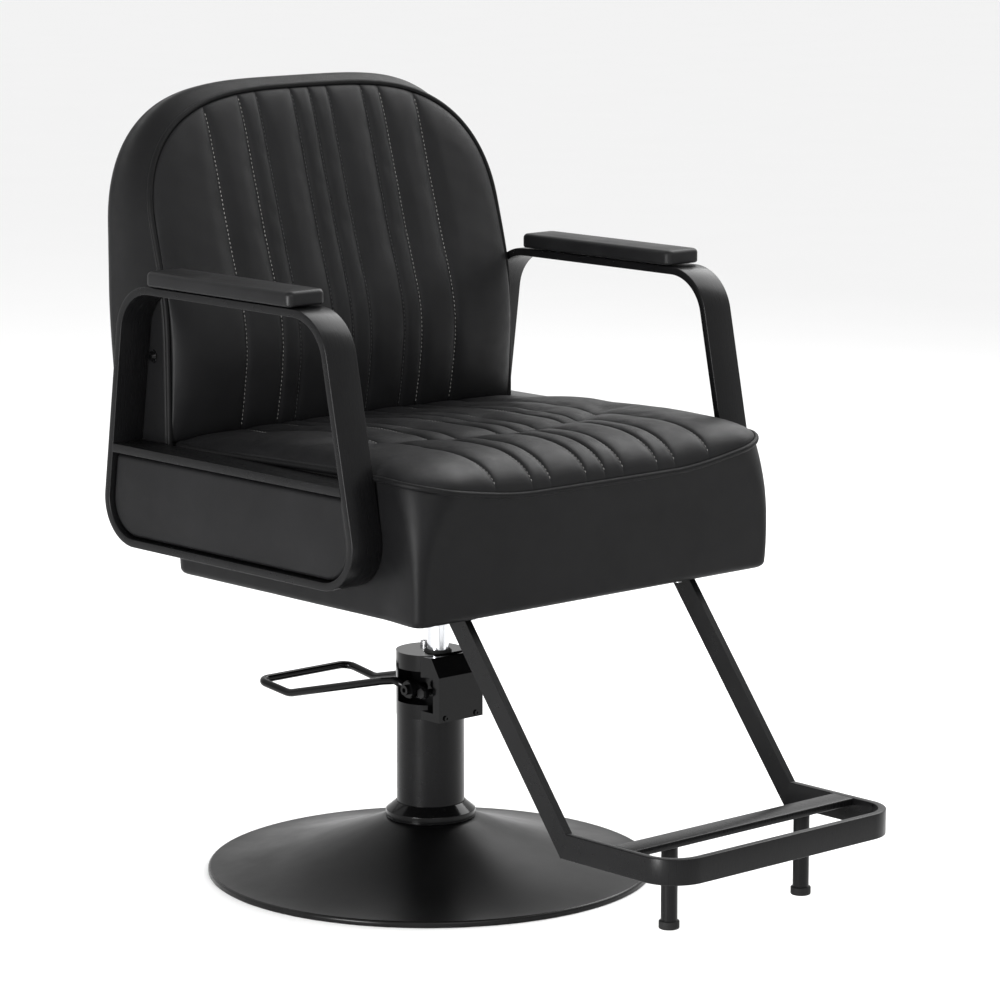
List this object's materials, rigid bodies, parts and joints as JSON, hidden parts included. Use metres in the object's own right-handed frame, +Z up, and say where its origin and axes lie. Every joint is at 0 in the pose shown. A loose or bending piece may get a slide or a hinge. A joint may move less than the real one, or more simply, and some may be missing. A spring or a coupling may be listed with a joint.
{
  "type": "styling chair",
  "caption": "Hydraulic salon styling chair: padded seat and backrest, flat-strip arm frames, T-shaped footrest frame, foot pump column and round dish base.",
  "frame": {"origin": "column axis at floor level, under the round base's rim", "axes": "+Z up; the sitter faces -Y and the footrest is at -Y; +X is the sitter's left"},
  "size_m": [0.691, 0.956, 1.015],
  "materials": {
    "dish_paint": "satin black powder coat",
    "rubber": "black rubber",
    "cast_iron": "raw",
    "zinc_steel": "zinc plated",
    "gloss_black": "gloss black enamel",
    "column_paint": "satin black",
    "pedal_paint": "gloss black",
    "chrome": "polished",
    "bare_steel": "machined",
    "bronze": "machined",
    "frame_paint": "satin black powder coat",
    "plate_paint": "black",
    "plywood": "raw",
    "foam": "foam",
    "upholstery": "satin black synthetic leather",
    "padding": "satin black synthetic leather over foam",
    "piping": "black piping",
    "arm_pad": "soft black urethane"
  },
  "bodies": {
    "base": {"base_dish": "dish_paint", "base_ring": "rubber", "ballast_plate": "cast_iron", "base_bolts": "zinc_steel", "pump_foot": "gloss_black", "column_collar": "gloss_black", "column_tube": "column_paint", "main_cylinder": "bare_steel", "pump_head": "gloss_black", "pump_cover": "gloss_black", "cover_screws": "gloss_black", "rod_bush": "bronze", "rod_wiper": "rubber", "filler_screw": "zinc_steel", "plunger_barrel": "bare_steel", "plunger_spring": "bare_steel", "trunnion_bolts": "gloss_black"},
    "piston": {"piston_rod": "chrome", "rod_piston": "bare_steel", "thrust_washer": "bronze"},
    "pedal": {"pedal_bar": "pedal_paint", "pedal_hubs": "gloss_black", "lever_pin": "plate_paint"},
    "plunger_body": {"plunger": "bare_steel"},
    "seat": {"mount_hub": "plate_paint", "mount_plate": "plate_paint", "mount_bolts": "zinc_steel", "seat_board": "plywood", "seat_box": "upholstery", "seat_foam": "foam", "seat_cushion": "padding", "seat_piping": "piping", "back_foam": "padding", "back_board": "plywood", "back_cover": "padding", "back_cushion": "padding", "back_piping": "piping", "back_straps": "plate_paint", "strap_bolts": "zinc_steel", "back_side_bolts": "plate_paint", "arm_frame_right": "frame_paint", "arm_frame_left": "frame_paint", "arm_rail_right": "frame_paint", "arm_rail_left": "frame_paint", "arm_plate_right": "plate_paint", "arm_plate_left": "plate_paint", "side_panel_right": "upholstery", "side_panel_left": "upholstery", "arm_pad_right": "arm_pad", "arm_pad_left": "arm_pad", "pad_screws": "zinc_steel", "arm_bolts": "zinc_steel", "footrest_strut_right": "frame_paint", "footrest_strut_left": "frame_paint", "footrest_loop": "frame_paint", "footrest_tread": "frame_paint", "footrest_legs": "frame_paint", "footrest_feet": "rubber", "footrest_tabs": "plate_paint", "footrest_bolts": "zinc_steel"}
  },
  "joints": [
    {"name": "lift", "type": "slide", "parent": "base", "child": "piston", "axis": [0, 0, 1], "range_m": [-0.05, 0.095]},
    {"name": "swivel", "type": "hinge", "parent": "piston", "child": "seat", "pos_m": [0, -0.015, 0.38], "axis": [0, 0, 1], "continuous": true},
    {"name": "pedal_hinge", "type": "hinge", "parent": "base", "child": "pedal", "pos_m": [0, -0.017, 0.248], "axis": [1, 0, 0], "range_deg": [-24, 0], "stiffness_Nm_per_rad": 2, "springref_deg": 74.48},
    {"name": "plunger_slide", "type": "slide", "parent": "base", "child": "plunger_body", "axis": [0, 0, 1], "range_m": [0, 0.0085], "deforming": ["plunger_spring"]}
  ],
  "couplings": [
    {"joint": "plunger_slide", "follows": "pedal_hinge", "m_per_rad": -0.0192}
  ]
}
